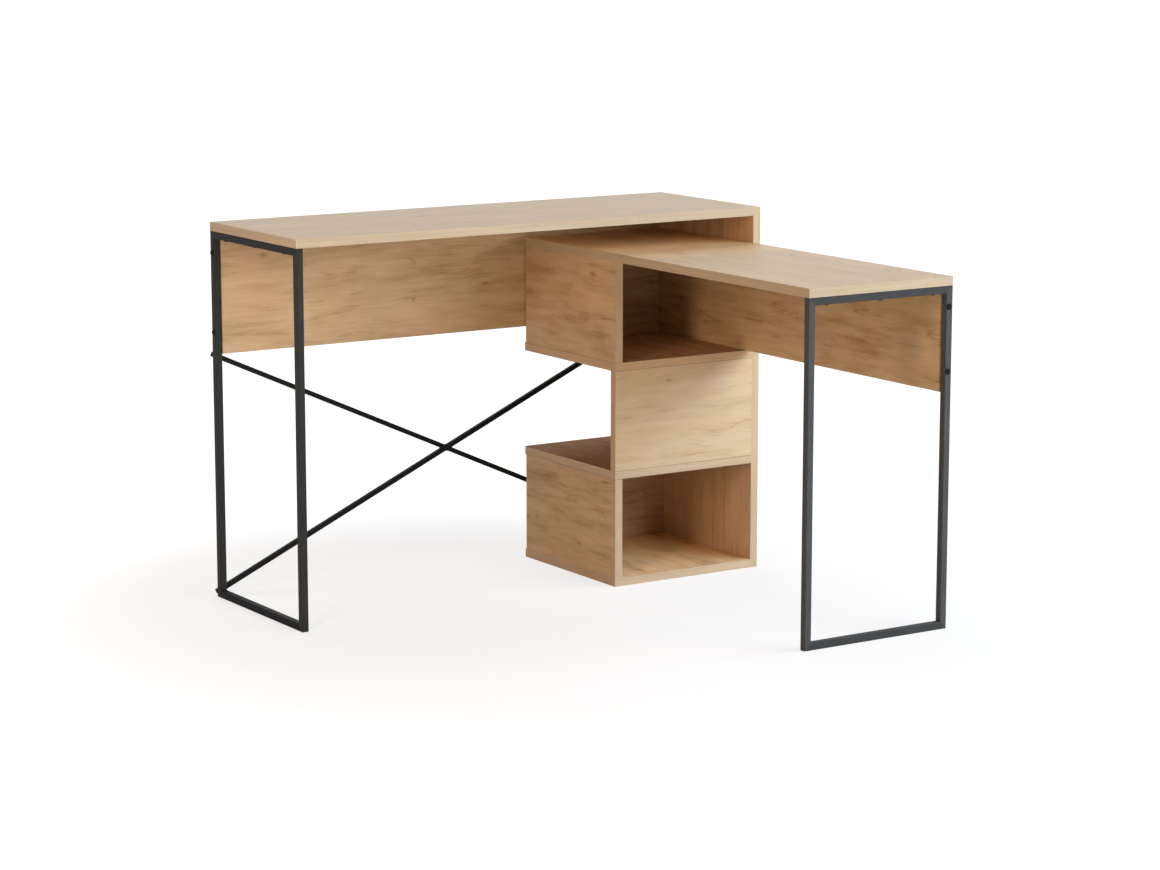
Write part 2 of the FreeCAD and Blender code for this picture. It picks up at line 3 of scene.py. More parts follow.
import bpy
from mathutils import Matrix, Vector


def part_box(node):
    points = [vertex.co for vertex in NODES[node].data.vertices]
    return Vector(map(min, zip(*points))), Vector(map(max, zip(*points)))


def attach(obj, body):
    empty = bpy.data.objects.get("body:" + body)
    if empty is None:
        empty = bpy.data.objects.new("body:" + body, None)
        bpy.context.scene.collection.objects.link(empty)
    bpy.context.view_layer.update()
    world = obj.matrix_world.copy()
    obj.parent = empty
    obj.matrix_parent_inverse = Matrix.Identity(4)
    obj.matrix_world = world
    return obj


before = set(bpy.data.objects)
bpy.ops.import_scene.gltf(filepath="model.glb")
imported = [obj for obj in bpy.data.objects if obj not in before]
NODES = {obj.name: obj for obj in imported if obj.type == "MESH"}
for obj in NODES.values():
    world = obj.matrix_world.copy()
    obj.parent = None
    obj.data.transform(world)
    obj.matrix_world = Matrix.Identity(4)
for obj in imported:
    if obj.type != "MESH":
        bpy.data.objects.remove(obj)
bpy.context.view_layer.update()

bl_info = {
    "name": "Corner Desk",
    "version": (1, 0, 0),
    "blender": (4, 5, 0),
    "location": "3D View > Sidebar > Corner Desk",
    "description": "Finishes the corner desk's boards, frames and fittings and sets up its studio",
    "category": "Object",
}

# ---------------------------------------------------------------- what each board is made like
# Each board's tint of the one decor, its edge band's, how lively its pattern is, how strongly
# it shines, the way its fibres run, the way over them, and a number that places the pattern. Its
# thickness is the third way. The tints are partly the boards' own shade and partly painted light:
# the shelves and back panels inside the tower and the lower modesty panel are darkened as painted
# shade, the bottom board is lightened as painted light, and the desktops and the middle front
# panel are paled and cooled for the light that falls on them. The band tints partly offset the
# lamps' colour on the bands as painted light. Knots are (along, across, radius): shares of the
# board's length and width from its low corner, and metres.
BOARDS = {
    # Painted light: the desktops' tints pale and cool their decor for the light on their tops.
    "main_desktop": dict(tint=(1.02, 1.05, 1.16), band=(1.01, 1.07, 1.15), vivid=0.45,
                         gloss=0.50, grain="X", across="Y", seed=1.0,
                         knots=[(0.37, 0.62, 0.009)]),
    "lower_desktop": dict(tint=(1.09, 1.09, 1.16), band=(0.96, 0.99, 1.03), vivid=0.50,
                          gloss=0.50, grain="Y", across="X", seed=2.3,
                          knots=[(0.58, 0.33, 0.008)]),
    "right_side_panel": dict(tint=(1.05, 0.99, 1.03), band=(1.02, 1.03, 1.06), vivid=0.75,
                             gloss=0.15, grain="Z", across="Y", seed=3.7,
                             knots=[(0.30, 0.55, 0.009), (0.74, 0.30, 0.007)]),
    "main_modesty_panel": dict(tint=(1.00, 1.01, 1.05), band=(0.98, 0.96, 0.94), vivid=0.9,
                               gloss=0.15, grain="X", across="Z", seed=4.9,
                               knots=[(0.09, 0.78, 0.006)]),
    # Painted shade: the lower modesty panel's tint darkens it.
    "lower_modesty_panel": dict(tint=(0.96, 0.93, 0.93), band=(0.98, 0.96, 0.94), vivid=1.0,
                                gloss=0.10, grain="Y", across="Z", seed=6.1,
                                knots=[(0.16, 0.84, 0.004)]),
    # Painted light: the bottom board's tint lightens it; painted shade: the shelves' tints darken
    # them.
    "tower_bottom_board": dict(tint=(1.35, 1.24, 1.10), band=(1.05, 1.05, 1.08), vivid=0.8,
                               gloss=0.0, grain="Y", across="X", seed=7.2, knots=[]),
    "tower_lower_shelf": dict(tint=(0.72, 0.67, 0.72), band=(1.00, 1.00, 1.02), vivid=0.6,
                              gloss=0.0, grain="Y", across="X", seed=8.6,
                              knots=[(0.40, 0.45, 0.007)]),
    "tower_upper_shelf": dict(tint=(0.70, 0.63, 0.64), band=(1.04, 0.97, 0.90), vivid=0.9,
                              gloss=0.0, grain="Y", across="X", seed=9.4, knots=[]),
    "lower_box_left_panel": dict(tint=(1.00, 1.01, 1.01), band=(1.00, 1.01, 1.02), vivid=1.1,
                                 gloss=0.10, grain="Y", across="Z", seed=10.8,
                                 knots=[(0.88, 0.38, 0.006), (0.40, 0.24, 0.005)]),
    "upper_box_left_panel": dict(tint=(0.99, 0.98, 0.99), band=(1.00, 0.98, 0.96), vivid=1.0,
                                 gloss=0.10, grain="Y", across="Z", seed=12.1,
                                 knots=[(0.24, 0.84, 0.008)]),
    # Painted shade: the back panels' tints darken them.
    "lower_box_back_panel": dict(tint=(0.92, 0.82, 0.78), vivid=1.0, gloss=0.0, grain="X",
                                 across="Z", seed=13.5, knots=[]),
    "upper_box_back_panel": dict(tint=(0.76, 0.70, 0.71), vivid=1.0, gloss=0.0, grain="X",
                                 across="Z", seed=14.7, knots=[]),
    # Painted light: this panel's tint pales and cools its decor.
    "middle_front_panel": dict(tint=(1.05, 1.12, 1.23), band=(0.98, 0.95, 0.93), vivid=0.55,
                               gloss=0.15, grain="X", across="Z", seed=15.9,
                               knots=[(0.38, 0.86, 0.005)]),
}
# Painted light: a board's tint where it runs under the long desktop, lighter and warmer there as
# painted warm bounce light in the desktop's shade, and the stretch in which that fades in.
PAINTED_BOUNCE_UNDER_TOP = {"lower_desktop": (1.52, 1.39, 1.24)}
PAINTED_BOUNCE_FADE = 0.17
# How slowly the decor changes through a board's thickness, in grains to the metre.
THROUGH = 1.5
# The decor's layers: grains to the metre along the fibres and across them, the depth at which each
# is cut, and its detail.
OAK_LAYERS = {
    "wave": (1.6, 5.0, 0.0, 1.0),
    "curl": (10.0, 26.0, 5.0, 1.0),
    "broad": (3.0, 13.0, 9.0, 1.0),
    "patch": (7.0, 40.0, 0.0, 3.0),
    "medium": (13.0, 95.0, 0.0, 1.0),
    "fine": (26.0, 400.0, 0.0, 2.0),
    "figure": (26.0, 11.0, 6.0, 1.0),
    "growth": (3.6, 40.0, 7.0, 2.0),
    "here": (6.0, 22.0, 4.0, 1.0),
    "dash": (20.0, 260.0, 3.0, 1.0),
    "pores": (70.0, 1500.0, 0.0, 1.0),
}
GROWTH_WIDTH = 0.022            # how far from the noise's middle a growth line reaches
GROWTH_PLACES = (0.0, 0.16)     # growth lines show only where that layer is above these
DASH_EDGE = (0.20, 0.30)
# A knot: how much longer than wide it is, how fast its heart, its halo and the fibres' bend round
# it fall off, and how strong each is.
KNOT_STRETCH = 2.2
KNOT_HEART, KNOT_HALO, KNOT_BEND = (2.2, 0.26), (0.35, 0.07), (0.16, 0.75)

BAND = "_edge_band"
# An edge band's broad, fine and cross-grained layers: grains to the metre along its strip and over
# it, and the detail.
BAND_LAYERS = [(5.0, 160.0, 2.0), (16.0, 900.0, 2.0), (38.0, 14.0, 1.0)]
BAND_THICK = (0.0009, 0.0011)   # from just within the band's 1 mm to just past it
# Painted light: strips of band coloured apart from the rest of their board's. The long desktop's
# left strip is lightened as painted light on that side; the right strips are warmed against the
# cool lamp at the right.
PAINTED_LIGHT_STRIPS = {
    "main_desktop": [("left", (1.30, 1.30, 1.30)), ("right", (1.08, 0.99, 0.93))],
    "lower_desktop": [("right", (1.08, 0.99, 0.93))],
}
# Tubes that are coated alike, grouped for painted light and shade: each group's share scales its
# coat's colours, less is blacker. The left frame, its foot rail and the brace are darkened as
# painted shade, the front legs lightened as painted light.
TUBES_WITH_PAINTED_SHADE = {
    "front legs": (1.20, ["front_frame_left_leg", "front_frame_right_leg"]),
    "front rails": (0.88, ["front_frame_top_rail", "front_frame_foot_rail"]),
    "left legs": (0.60, ["left_frame_front_leg", "left_frame_rear_leg"]),
    "left top rail": (0.50, ["left_frame_top_rail"]),
    "left foot rail": (0.17, ["left_frame_foot_rail"]),
    "brace": (0.25, ["brace_long_bar", "brace_upper_half_bar", "brace_lower_half_bar"]),
}
SCREWS = ["left_frame_rail_screws", "front_frame_rail_screws", "left_frame_panel_screws",
          "front_frame_panel_screws", "brace_screws"]
ZINC = ["desktop_cam_bolts", "tower_cam_bolts", "desktop_cam_locks", "tower_cam_locks"]
BEECH = ["desktop_dowels", "tower_dowels"]
PLUGS = ["brace_end_plugs"]
# Painted shadow: the bands of these shelves get a dark line at their joints, as the seams' shadow.
PAINTED_JOINT_SHADOW_SHELVES = ["tower_upper_shelf", "tower_lower_shelf"]     # a fine dark line shows at their joints
# Grains to the metre in the powder coat and in the beech; the beech's flecks run along Z.
COAT_PEEL, COAT_SPECKS, COAT_CLOUD = 900.0, 2600.0, 18.0
BEECH_FIBRE, BEECH_FLECK, BEECH_FLECK_END = 700.0, 260.0, 900.0
BEAD_RIPPLES, BEAD_SWELL = 8, 1.14
FACING = 0.9                    # a face looks along an axis if its normal goes this far along it
FLOOR_SIZE, FLOOR_DROP = 40.0, 0.0003
FLOOR_FADE = (0.5, 1.9)         # squares of the distances between which the floor turns white
LAMPS = ("left", "front", "side", "back")


# ---------------------------------------------------------------- shader maths
class Wire:
    """A node's output that takes part in sums as a number does."""

    def __init__(self, graph, socket):
        self.graph, self.socket = graph, socket

    def out(self, name):
        """Another output of the same node."""
        return Wire(self.graph, self.socket.node.outputs[name])

    def _maths(self, operation, *values):
        return self.graph.node("ShaderNodeMath", {"operation": operation},
                               dict(enumerate(values)))

    def __add__(self, other):
        return self._maths("ADD", self, other)

    def __sub__(self, other):
        return self._maths("SUBTRACT", self, other)

    def __rsub__(self, other):
        return self._maths("SUBTRACT", other, self)

    def __mul__(self, other):
        return self._maths("MULTIPLY", self, other)

    __radd__, __rmul__ = __add__, __mul__

    def __abs__(self):
        return self._maths("ABSOLUTE", self)

    def exp(self):
        return self._maths("EXPONENT", self)

    def rise(self, low, high):
        """0 below low, 1 above high, and a smooth step between them."""
        return self.graph.node("ShaderNodeMapRange", {"interpolation_type": "SMOOTHSTEP"},
                               {"Value": self, "From Min": low, "From Max": high})


class Graph:
    """The node tree of one material or world."""

    def __init__(self, owner):
        owner.use_nodes = True
        self.tree = owner.node_tree
        self.tree.nodes.clear()

    def node(self, kind, settings=None, values=None, output=0):
        """Adds a node: its settings first, a ramp's stops among them, and then its sockets."""
        made = self.tree.nodes.new(kind)
        for name, value in (settings or {}).items():
            if name == "stops":
                ramp = made.color_ramp.elements
                while len(ramp) < len(value):
                    ramp.new(1.0)
                for stop, (place, colour) in zip(ramp, value):
                    stop.position = place
                    stop.color = (*colour, 1.0)
            else:
                setattr(made, name, value)
        sockets = {socket.identifier: socket for socket in made.inputs}
        for key, value in (values or {}).items():
            socket = made.inputs[key] if isinstance(key, int) else sockets.get(key)
            socket = socket or made.inputs[key]
            if isinstance(value, Wire):
                self.tree.links.new(value.socket, socket)
            else:
                socket.default_value = value
        return Wire(self, made.outputs[output]) if made.outputs else None

    def place(self):
        """A piece's own X, Y and Z, in metres, by name."""
        point = self.node("ShaderNodeTexCoord").out("Object")
        split = self.node("ShaderNodeSeparateXYZ", None, {0: point})
        return {axis: split.out(axis) for axis in "XYZ"}

    def noise(self, x, y, z, detail=2.0, roughness=0.5):
        """Noise about 0 over three coordinates, each already in units of its own grain."""
        vector = self.node("ShaderNodeCombineXYZ", None, {0: x, 1: y, 2: z})
        return self.node("ShaderNodeTexNoise", {"noise_dimensions": "3D"},
                         {"Vector": vector, "Scale": 1.0, "Detail": detail,
                          "Roughness": roughness}) - 0.5

    def blend(self, factor, first, second, kind="MIX"):
        """Mixes two colours."""
        return self.node("ShaderNodeMix", {"data_type": "RGBA", "blend_type": kind},
                         {"Factor_Float": factor, "A_Color": opaque(first),
                          "B_Color": opaque(second)}, output=2)


def opaque(colour):
    """A colour with its alpha, or a wire as it is."""
    return colour if isinstance(colour, Wire) else (*colour, 1.0)


def finish(graph, shader, world=False):
    """Ends a tree with this shader."""
    graph.node("ShaderNodeOutputWorld" if world else "ShaderNodeOutputMaterial", None,
               {"Surface": shader})


def coat(nodes, material):
    """Gives CAD nodes a material through their own slots."""
    for name in nodes:
        slots = NODES[name].material_slots
        if not len(slots):
            raise RuntimeError(f"{name} has no material slot")
        for slot in slots:
            slot.material = material


# ---------------------------------------------------------------- finishes
def oak_tone(graph, s, along, across, through, vivid, knots):
    """How light the decor is, from 0 to 1, its height, its fibres and its warm patches."""
    def layer(name, line):
        over_along, over_across, depth, detail = OAK_LAYERS[name]
        return graph.noise(along * over_along, line * over_across, through + depth, detail)

    bend = layer("wave", across) * s.waviness + layer("curl", across) * s.curl
    dark = 0.0
    for knot_along, knot_across, radius in knots:
        off_along = (along - knot_along) * (1.0 / (radius * KNOT_STRETCH))
        off_across = (across - knot_across) * (1.0 / radius)
        squared = off_along * off_along + off_across * off_across
        heart, halo, pull = ((squared * -fall).exp() * strength
                             for fall, strength in (KNOT_HEART, KNOT_HALO, KNOT_BEND))
        bend = bend - (across - knot_across) * pull
        dark = heart + halo + dark
    line = across + bend
    broad, patch, medium, fine, figure = (
        layer(name, line) for name in ("broad", "patch", "medium", "fine", "figure"))
    growth = 1.0 - abs(layer("growth", line)).rise(0.0, GROWTH_WIDTH)
    here = layer("here", line).rise(*GROWTH_PLACES)
    dash = layer("dash", line).rise(*DASH_EDGE)
    swing = (broad * (s.streak * 0.8) + patch * s.streak
             + medium * s.fibre + fine * (s.fibre * 0.8) + figure * s.figure
             - growth * here * s.growth - dash * s.dash)
    tone = swing * vivid - dark + s.lightness
    height = fine * 0.6 + layer("pores", line) * 0.5 - dash * 0.5
    return tone, height, medium, figure + broad


def oak_shader(graph, s, tone, height, medium, warmth, tint, gloss):
    """Melamine decor: its colours, sheen and embossed pores."""
    colour = graph.node("ShaderNodeValToRGB", {"stops": [
        (0.00, tuple(s.knot_colour)), (0.32, tuple(s.dark_colour)),
        (0.62, tuple(s.mid_colour)), (1.00, tuple(s.pale_colour))]}, {"Fac": tone})
    # The board's tint: its own shade of the decor together with painted light and shade.
    colour = graph.blend(1.0, colour, tint, "MULTIPLY")
    colour = graph.blend(warmth * 2.0 + 0.5, colour,
                         graph.blend(1.0, colour, s.warm_shade, "MULTIPLY"))
    bump = graph.node("ShaderNodeBump", None,
                      {"Strength": s.emboss, "Distance": s.emboss_depth, "Height": height})
    return graph.node("ShaderNodeBsdfPrincipled", None,
                      {"Base Color": colour, "Roughness": medium * 0.12 + s.roughness,
                       "Specular IOR Level": gloss, "Normal": bump})


def third_way(board):
    """The axis of a board's thickness: neither along its fibres nor across them."""
    return (set("XYZ") - {board["grain"], board["across"]}).pop()


def board_finish(name, board, s):
    """One board's material, with its fibres, knots and tint, which holds painted light and shade.
    """
    low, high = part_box(name)
    material = bpy.data.materials.new("oak decor " + name.replace("_", " "))
    graph = Graph(material)
    place = graph.place()
    seed = board["seed"]
    along, across = ("XYZ".index(board[way]) for way in ("grain", "across"))
    knots = [(low[along] + (high[along] - low[along]) * share_along + seed,
              low[across] + (high[across] - low[across]) * share_across, radius)
             for share_along, share_across, radius in board["knots"]]
    tone, height, medium, warmth = oak_tone(
        graph, s, place[board["grain"]] + seed, place[board["across"]],
        place[third_way(board)] * THROUGH + seed, board["vivid"], knots)
    tint = board["tint"]
    # Painted warm bounce light where the board runs under the long desktop.
    if name in PAINTED_BOUNCE_UNDER_TOP:
        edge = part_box("main_desktop")[0].y
        tint = graph.blend(place["Y"].rise(edge - PAINTED_BOUNCE_FADE, edge), tint, PAINTED_BOUNCE_UNDER_TOP[name])
    finish(graph, oak_shader(graph, s, tone, height, medium, warmth, tint, board["gloss"]))
    return material


def band_finish(name, board, s, band):
    """One edge band's material: the same decor in long streaks along the strip, with its tint and
    end strips as painted light and, on the shelves, a painted shadow line at the joints.
    """
    material = bpy.data.materials.new("oak edge band " + name.replace("_", " "))
    graph = Graph(material)
    place = graph.place()
    thin = third_way(board)
    first, second = (place[axis] for axis in "XYZ" if axis != thin)
    broad, fine, figure = (
        graph.noise(first * along, second * along, place[thin] * over + board["seed"], detail)
        for along, over, detail in BAND_LAYERS)
    tone = broad * band.streak + fine * (band.streak * 0.6) + figure * 0.12 + band.lightness
    colour = graph.node("ShaderNodeValToRGB", {"stops": [
        (0.0, tuple(band.dark_colour)), (1.0, tuple(band.pale_colour))]}, {"Fac": tone})
    # The band's tint, which partly offsets the lamps' colour on the band as painted light.
    colour = graph.blend(1.0, colour, board["band"], "MULTIPLY")
    low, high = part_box(name + BAND)
    # Painted light on the strips at the band's ends.
    for side, factors in PAINTED_LIGHT_STRIPS.get(name, ()):
        inward = place["X"] - low.x if side == "left" else high.x - place["X"]
        strip = 1.0 - inward.rise(*BAND_THICK)
        other = graph.blend(1.0, colour, factors, "MULTIPLY")
        colour = graph.blend(strip, colour, other)
    # Painted shadow: a dark line along the band's edges at the shelf's joints.
    if name in PAINTED_JOINT_SHADOW_SHELVES:
        bottom, top = (corner["XYZ".index(thin)] for corner in (low, high))
        inward = abs(place[thin] - (bottom + top) / 2)
        joint_shadow = inward.rise((top - bottom) / 2 - band.joint_shadow_width, (top - bottom) / 2)
        colour = graph.blend(joint_shadow * band.joint_shadow, colour, (0.0, 0.0, 0.0))
    bump = graph.node("ShaderNodeBump", None,
                      {"Strength": s.emboss, "Distance": s.emboss_depth, "Height": fine})
    finish(graph, graph.node("ShaderNodeBsdfPrincipled", None,
                             {"Base Color": colour, "Roughness": broad * 0.1 + band.roughness,
                              "Specular IOR Level": band.gloss, "Normal": bump}))
    return material


def powder_coat(s, name, share):
    """Black powder coat: fine orange peel with a grain of slightly lighter specks, its colours
    scaled by share as painted light and shade.
    """
    material = bpy.data.materials.new("black powder coat " + name)
    graph = Graph(material)
    place = graph.place()
    peel, grain, cloud = (
        graph.noise(*(place[axis] * scale for axis in "XYZ"), detail)
        for scale, detail in ((COAT_PEEL, 1.0), (COAT_SPECKS, 2.0), (COAT_CLOUD, 2.0)))
    tone = grain * 0.9 + cloud * 0.7 + 0.5
    # The share darkens or lightens the coat as painted shade and light.
    colour = graph.blend(tone, Vector(s.dark_colour) * share, Vector(s.pale_colour) * share)
    bump = graph.node("ShaderNodeBump", None, {"Strength": s.peel, "Distance": s.peel_depth,
                                               "Height": peel + grain * 0.5})
    finish(graph, graph.node("ShaderNodeBsdfPrincipled", None,
                             {"Base Color": colour, "Roughness": cloud * 0.15 + s.roughness,
                              "Specular IOR Level": s.gloss, "Normal": bump}))
    return material


def hardware_finish(name, dark, pale, size, roughness, metal=0.0, gloss=0.5):
    """A fitting's material: two shades in fine specks, and a surface that isn't quite even."""
    material = bpy.data.materials.new(name)
    graph = Graph(material)
    place = graph.place()
    x, y, z = (place[axis] * (1.0 / size) for axis in "XYZ")
    specks = graph.noise(x, y, z, 3.0)
    cloud = graph.noise(x * 0.1, y * 0.1, z * 0.1, 2.0)
    colour = graph.blend(specks * 1.2 + cloud + 0.5, dark, pale)
    bump = graph.node("ShaderNodeBump", None,
                      {"Strength": 0.2, "Distance": size * 0.2, "Height": specks})
    finish(graph, graph.node("ShaderNodeBsdfPrincipled", None,
                             {"Base Color": colour, "Roughness": cloud * 0.3 + roughness,
                              "Metallic": metal, "Specular IOR Level": gloss,
                              "Normal": bump}))
    return material


def beech_finish(s):
    """Turned beech: pale fibres with the short dark flecks of its rays."""
    material = bpy.data.materials.new("turned beech")
    graph = Graph(material)
    place = graph.place()
    x, y, z = (place[axis] for axis in "XYZ")
    fibre = graph.noise(x * BEECH_FIBRE, y * BEECH_FIBRE, z * BEECH_FIBRE, 2.0)
    fleck = graph.noise(x * BEECH_FLECK, y * BEECH_FLECK, z * BEECH_FLECK_END, 1.0)
    fleck = fleck.rise(0.12, 0.22)
    tone = fibre * 0.8 - fleck * 0.35 + 0.6
    colour = graph.blend(tone, s.beech_dark, s.beech_pale)
    bump = graph.node("ShaderNodeBump", None,
                      {"Strength": 0.3, "Distance": 0.0002, "Height": fibre - fleck})
    finish(graph, graph.node("ShaderNodeBsdfPrincipled", None,
                             {"Base Color": colour, "Roughness": fibre * 0.2 + 0.62,
                              "Normal": bump}))
    return material


# ---------------------------------------------------------------- modelling by hand
def only(*objects):
    """Selects these objects and nothing else; the last one is active."""
    bpy.ops.object.select_all(action="DESELECT")
    for item in objects:
        item.select_set(True)
        bpy.context.view_layer.objects.active = item


def pick(item, test):
    """In edit mode, selects the faces for which test is true, and says how many."""
    bpy.ops.mesh.select_all(action="DESELECT")
    bpy.ops.object.mode_set(mode="OBJECT")
    chosen = 0
    for face in item.data.polygons:
        face.select = test(face)
        chosen += face.select
    bpy.ops.object.mode_set(mode="EDIT")
    return chosen


def weld_bead(place, radius, length):
    """A short rippled bead along Y, with its ends drawn in."""
    only()
    step = length / (BEAD_RIPPLES + 2)
    bpy.ops.mesh.primitive_cylinder_add(vertices=16, radius=radius, depth=step * 2,
                                        location=place + Vector((0, step - length / 2, 0)),
                                        rotation=(-math.pi / 2, 0, 0))
    bead = bpy.context.object
    bpy.ops.object.transform_apply(location=True, rotation=True, scale=True)
    bpy.ops.object.mode_set(mode="EDIT")
    bpy.ops.mesh.select_mode(type="FACE")
    for ripple in range(BEAD_RIPPLES):
        if not pick(bead, lambda face: face.normal.y > FACING):
            raise RuntimeError("the weld bead has no end to draw out")
        swell = BEAD_SWELL if ripple % 2 == 0 else 1 / BEAD_SWELL
        bpy.ops.mesh.extrude_region_move(TRANSFORM_OT_translate={"value": (0, step, 0)})
        bpy.ops.transform.resize(value=(swell, 1.0, swell))
    for side in (-1, 1):
        pick(bead, lambda face: face.normal.y * side > FACING)
        bpy.ops.mesh.inset(thickness=radius * 0.35, depth=radius * 0.12)
    bpy.ops.mesh.select_all(action="SELECT")
    bpy.ops.mesh.normals_make_consistent(inside=False)
    bpy.ops.object.mode_set(mode="OBJECT")
    return bead


def copy_to(item, way):
    """A copy with its own mesh, moved this way, with its place in its mesh."""
    only(item)
    bpy.ops.object.duplicate(linked=False)
    bpy.ops.transform.translate(value=way)
    bpy.ops.object.transform_apply(location=True, rotation=True, scale=True)
    return bpy.context.object


# ---------------------------------------------------------------- settings
def shade(name, description, default):
    return bpy.props.FloatVectorProperty(name=name, description=description, subtype="COLOR",
                                         size=3, min=0.0, max=1.0, default=default)


def amount(name, description, default, low=0.0, high=1.0):
    return bpy.props.FloatProperty(name=name, description=description, min=low, max=high,
                                   default=default, subtype="FACTOR")


def distance(name, description, default):
    return bpy.props.FloatProperty(name=name, description=description, min=0.0,
                                   default=default, unit="LENGTH", subtype="DISTANCE",
                                   precision=4)


def power(name, description, default):
    return bpy.props.FloatProperty(name=name, description=description, min=0.0,
                                   default=default, unit="POWER")


def angle(name, description, degrees):
    return bpy.props.FloatProperty(name=name, description=description,
                                   default=math.radians(degrees), unit="ROTATION",
                                   subtype="ANGLE")


class BoardSettings(bpy.types.PropertyGroup):
    """The oak decor on the boards."""
    pale_colour: shade("Pale", "Lightest fibres", (0.74, 0.59, 0.42))
    mid_colour: shade("Middle", "Most of the decor", (0.60, 0.45, 0.285))
    dark_colour: shade("Dark", "Darkest streaks", (0.41, 0.26, 0.135))
    knot_colour: shade("Knot", "Heart of a knot", (0.20, 0.11, 0.05))
    warm_shade: shade("Warm patches", "How the warmer patches differ", (1.0, 0.95, 0.86))
    lightness: amount("Lightness", "Where most of the decor lies between dark and pale", 0.66)
    streak: amount("Streaks", "Strength of the broad patches along the grain", 0.75, 0, 2)
    growth: amount("Growth lines", "Strength of the fine lines that follow the growth", 0.26)
    fibre: amount("Fibres", "Strength of the fibres", 0.42, 0, 2)
    figure: amount("Figure", "Strength of the pale patches across the grain", 0.22, 0, 2)
    dash: amount("Dashes", "Strength of the short dark dashes", 0.16)
    waviness: distance("Waviness", "How far fibres stray sideways", 0.025)
    curl: distance("Curl", "How far fibres curl sideways in short waves", 0.010)
    roughness: amount("Roughness", "Roughness of the decor", 0.46)
    emboss: amount("Emboss", "Strength of the embossed pores", 0.35)
    emboss_depth: distance("Emboss depth", "Depth of the embossed pores", 0.0002)


class BandSettings(bpy.types.PropertyGroup):
    """The edge bands."""
    pale_colour: shade("Pale", "Lightest streaks", (0.65, 0.52, 0.365))
    dark_colour: shade("Dark", "Darkest streaks", (0.45, 0.335, 0.205))
    lightness: amount("Lightness", "Where most of the band lies between dark and pale", 0.62)
    streak: amount("Streaks", "Strength of the streaks along the strip", 0.8, 0, 2)
    roughness: amount("Roughness", "Roughness of the band", 0.45)
    gloss: amount("Gloss", "Strength of the reflection", 0.15)
    # Painted shadow: a dark line in the shelves' bands where the seams' shadow falls at their
    # joints.
    joint_shadow: amount("Joint line", "Depth of the dark line at a shelf's joints", 0.75)
    joint_shadow_width: distance("Joint width", "Width of the dark line", 0.0014)


class MetalSettings(bpy.types.PropertyGroup):
    """The powder coat on the frames and the brace."""
    dark_colour: shade("Dark", "Darker grain", (0.050, 0.054, 0.058))
    pale_colour: shade("Pale", "Lighter grain", (0.087, 0.093, 0.101))
    roughness: amount("Roughness", "Roughness of the coat", 0.45)
    gloss: amount("Gloss", "Strength of the reflection", 0.04)
    peel: amount("Orange peel", "Strength of the coat's fine texture", 0.25)
    peel_depth: distance("Texture depth", "Depth of the coat's fine texture", 0.0001)


class FittingSettings(bpy.types.PropertyGroup):
    """Screws, plugs, cams and dowels."""
    screw_dark: shade("Screw, dark", "Darker specks of the black screws", (0.008, 0.008, 0.009))
    screw_pale: shade("Screw, pale", "Lighter specks of the black screws", (0.022, 0.022, 0.024))
    zinc_dark: shade("Zinc, dark", "Darker specks of the cams and bolts", (0.28, 0.28, 0.29))
    zinc_pale: shade("Zinc, pale", "Lighter specks of the cams and bolts", (0.46, 0.46, 0.47))
    plug_dark: shade("Plug, dark", "Darker specks of the end plugs", (0.012, 0.012, 0.012))
    plug_pale: shade("Plug, pale", "Lighter specks of the end plugs", (0.028, 0.028, 0.028))
    beech_dark: shade("Beech, dark", "Darker fibres of the dowels", (0.42, 0.27, 0.14))
    beech_pale: shade("Beech, pale", "Lighter fibres of the dowels", (0.66, 0.48, 0.29))


class WeldSettings(bpy.types.PropertyGroup):
    """The weld seams where the brace's bars cross."""
    radius: distance("Bead radius", "Radius of a weld bead", 0.0018)
    tube: distance("Tube", "Width of the brace's square tube", 0.010)


